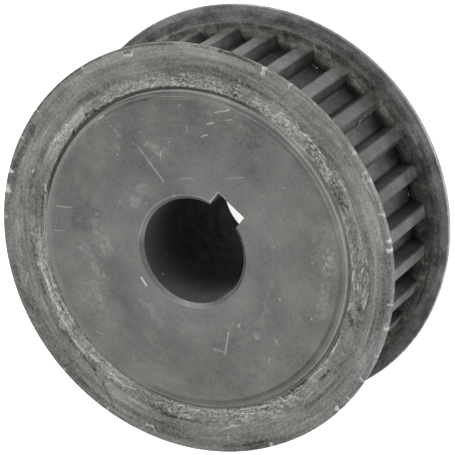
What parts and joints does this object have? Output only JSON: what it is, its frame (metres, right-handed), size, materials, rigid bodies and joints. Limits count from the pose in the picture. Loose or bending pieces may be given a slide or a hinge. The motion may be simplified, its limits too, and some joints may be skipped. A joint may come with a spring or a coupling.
{
  "type": "timing belt pulley",
  "caption": "Steel timing belt pulley with straight trapezoidal grooves, a flared flange ring at each side of the belt, a keyed bore and a short rear boss.",
  "frame": {"origin": "centre of the boss's end face, on the bore axis, at the lowest level of the part", "axes": "+Z along the bore axis, from the boss end to the flat front face; +Y from the axis through the middle of the keyway"},
  "size_m": [0.098, 0.098, 0.045],
  "materials": {
    "body": "dark phosphated, dull",
    "flange": "dark phosphated sheet, stained and speckled"
  },
  "bodies": {
    "root": {"toothed_body": "body", "front_flange": "flange", "rear_flange": "flange"}
  },
  "joints": []
}
